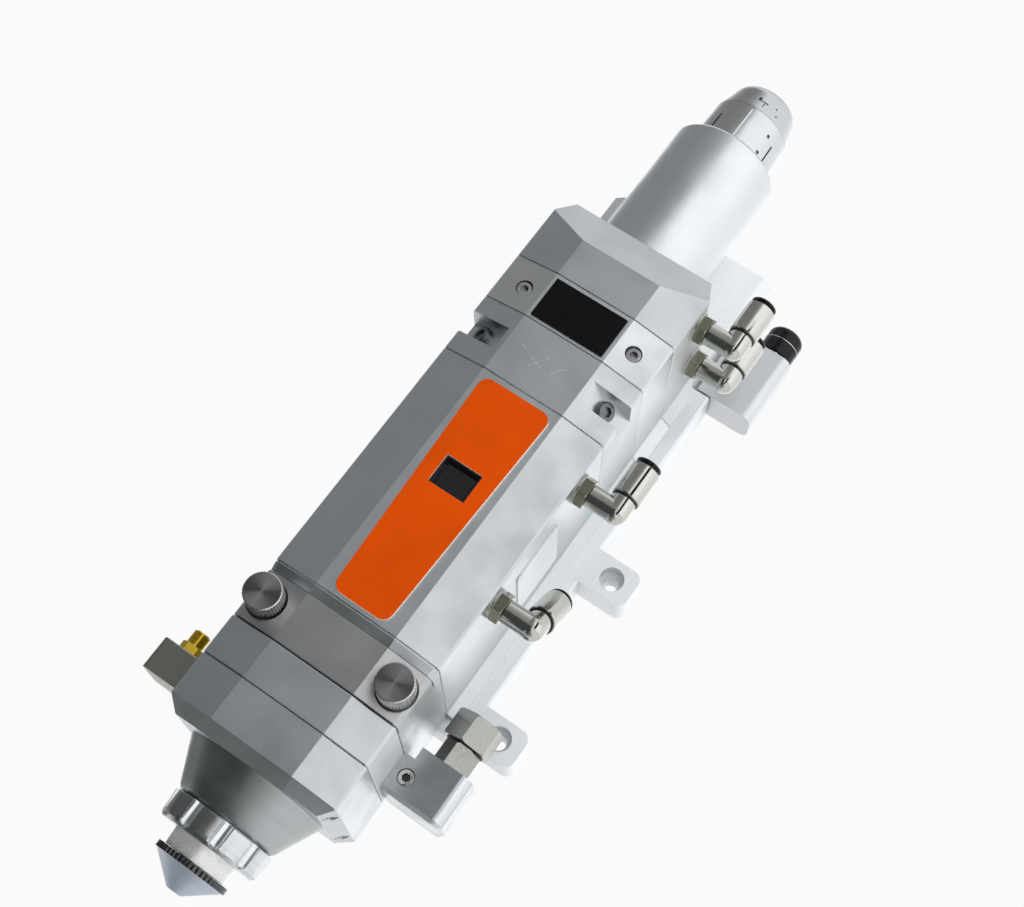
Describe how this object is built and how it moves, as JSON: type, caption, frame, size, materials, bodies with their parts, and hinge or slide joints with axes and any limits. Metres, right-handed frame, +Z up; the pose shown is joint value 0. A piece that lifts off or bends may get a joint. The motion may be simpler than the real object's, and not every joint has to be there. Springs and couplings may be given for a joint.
{
  "type": "laser cutting head",
  "caption": "Faceted aluminium laser cutting head with fibre tube, orange front plate, thumbscrewed window drawer, push-in fittings and a ceramic-held nozzle.",
  "frame": {"origin": "centre of the four tapped holes in the flat rear face", "axes": "+Z up along the beam towards the fibre socket, -Y out of the front with the drawer and the orange plate, +X towards the side with the fittings and lugs"},
  "size_m": [0.135, 0.1052, 0.429],
  "materials": {
    "anodised_grey": "satin",
    "light_aluminium": "satin",
    "collar_steel": "brushed",
    "cone_metal": "satin",
    "nozzle_plating": "satin",
    "nickel": "polished",
    "steel": "satin",
    "brass": "polished",
    "orange_paint": "satin",
    "black_paint": "matte",
    "white_ceramic": "gloss",
    "black_plastic": "gloss",
    "optic_glass": "clear",
    "seal_rubber": "matte"
  },
  "bodies": {
    "head": {"nozzle_block": "anodised_grey", "block_screws": "steel", "sensor_block": "anodised_grey", "sensor_box": "light_aluminium", "brass_connector": "brass", "sensor_cone": "cone_metal", "ceramic_ring": "white_ceramic", "lower_housing": "anodised_grey", "main_body": "anodised_grey", "orange_plate": "orange_paint", "sight_bezel": "black_paint", "sight_window": "optic_glass", "side_plate": "light_aluminium", "upper_body": "anodised_grey", "pocket_screws": "steel", "clamp_band": "anodised_grey", "band_screws": "steel", "black_plate": "black_paint", "cap": "anodised_grey", "fibre_tube": "light_aluminium", "collar_base": "collar_steel", "mounting_plate": "light_aluminium", "plate_screws": "steel", "rear_housing": "light_aluminium", "connector_box": "light_aluminium", "box_socket": "nickel", "fitting_bases": "nickel", "gas_block": "light_aluminium", "gas_screw": "steel", "gas_adaptor": "nickel", "guide_rods": "steel", "focus_motor": "black_paint", "collimator_cell": "light_aluminium", "collimator_lens": "optic_glass"},
    "nozzle": {"nozzle": "nozzle_plating"},
    "lock_nut": {"lock_nut": "collar_steel"},
    "drawer": {"drawer_front": "anodised_grey", "drawer_tray": "light_aluminium", "protective_window": "optic_glass", "window_seal": "seal_rubber"},
    "knob_left": {"thumbscrew_left": "collar_steel"},
    "knob_right": {"thumbscrew_right": "collar_steel"},
    "collar_ring": {"collar_ring": "collar_steel"},
    "dust_cap": {"dust_cap": "black_plastic"},
    "gas_nut": {"gas_nut": "nickel"},
    "focus": {"focus_carriage": "light_aluminium", "focus_lens": "optic_glass"},
    "lead_screw": {"lead_screw": "steel"},
    "elbow_1": {"elbow_1": "nickel"},
    "collet_1": {"collet_1": "nickel"},
    "elbow_2": {"elbow_2": "nickel"},
    "collet_2": {"collet_2": "nickel"},
    "elbow_3": {"elbow_3": "nickel"},
    "collet_3": {"collet_3": "nickel"},
    "elbow_4": {"elbow_4": "nickel"},
    "collet_4": {"collet_4": "nickel"}
  },
  "joints": [
    {"name": "drawer_slide", "type": "slide", "parent": "head", "child": "drawer", "axis": [0, -1, 0], "range_m": [0, 0.06]},
    {"name": "knob_left_turn", "type": "hinge", "parent": "drawer", "child": "knob_left", "pos_m": [-0.031, -0.0931, -0.06265], "axis": [0, -1, 0], "continuous": true},
    {"name": "knob_right_turn", "type": "hinge", "parent": "drawer", "child": "knob_right", "pos_m": [0.031, -0.0931, -0.06265], "axis": [0, -1, 0], "continuous": true},
    {"name": "nozzle_turn", "type": "hinge", "parent": "head", "child": "nozzle", "pos_m": [0, -0.058, -0.157], "axis": [0, 0, 1], "continuous": true},
    {"name": "lock_nut_turn", "type": "hinge", "parent": "head", "child": "lock_nut", "pos_m": [0, -0.058, -0.142], "axis": [0, 0, 1], "continuous": true},
    {"name": "collar_turn", "type": "hinge", "parent": "head", "child": "collar_ring", "pos_m": [0, -0.058, 0.254], "axis": [0, 0, 1], "range_deg": [0, 45]},
    {"name": "dust_cap_turn", "type": "hinge", "parent": "head", "child": "dust_cap", "pos_m": [0.0625, -0.0095, 0.184], "axis": [0, 0, 1], "continuous": true},
    {"name": "gas_nut_turn", "type": "hinge", "parent": "head", "child": "gas_nut", "pos_m": [0.0555, -0.038, -0.05], "axis": [0, 0, 1], "continuous": true},
    {"name": "focus_slide", "type": "slide", "parent": "head", "child": "focus", "axis": [0, 0, 1], "range_m": [-0.01, 0.01]},
    {"name": "lead_screw_turn", "type": "hinge", "parent": "head", "child": "lead_screw", "pos_m": [0, -0.0315, 0], "axis": [0, 0, 1], "range_deg": [-1900, 1900]},
    {"name": "elbow_1_swivel", "type": "hinge", "parent": "head", "child": "elbow_1", "pos_m": [0.039, -0.082, 0.136], "axis": [1, 0, 0], "range_deg": [-20, 120]},
    {"name": "collet_1_press", "type": "slide", "parent": "elbow_1", "child": "collet_1", "axis": [0, 0, -1], "range_m": [0, 0.001], "stiffness_N_per_m": 400},
    {"name": "elbow_2_swivel", "type": "hinge", "parent": "head", "child": "elbow_2", "pos_m": [0.039, -0.05, 0.136], "axis": [1, 0, 0], "range_deg": [-120, 20]},
    {"name": "collet_2_press", "type": "slide", "parent": "elbow_2", "child": "collet_2", "axis": [0, 0, -1], "range_m": [0, 0.001], "stiffness_N_per_m": 400},
    {"name": "elbow_3_swivel", "type": "hinge", "parent": "head", "child": "elbow_3", "pos_m": [0.039, -0.082, 0.0475], "axis": [1, 0, 0], "continuous": true},
    {"name": "collet_3_press", "type": "slide", "parent": "elbow_3", "child": "collet_3", "axis": [0, 0, -1], "range_m": [0, 0.001], "stiffness_N_per_m": 400},
    {"name": "elbow_4_swivel", "type": "hinge", "parent": "head", "child": "elbow_4", "pos_m": [0.039, -0.082, -0.011], "axis": [1, 0, 0], "continuous": true},
    {"name": "collet_4_press", "type": "slide", "parent": "elbow_4", "child": "collet_4", "axis": [0, -0.6157, -0.788], "range_m": [0, 0.001], "stiffness_N_per_m": 400}
  ],
  "couplings": [
    {"joint": "lead_screw_turn", "follows": "focus_slide", "rad_per_m": 3141.6}
  ]
}
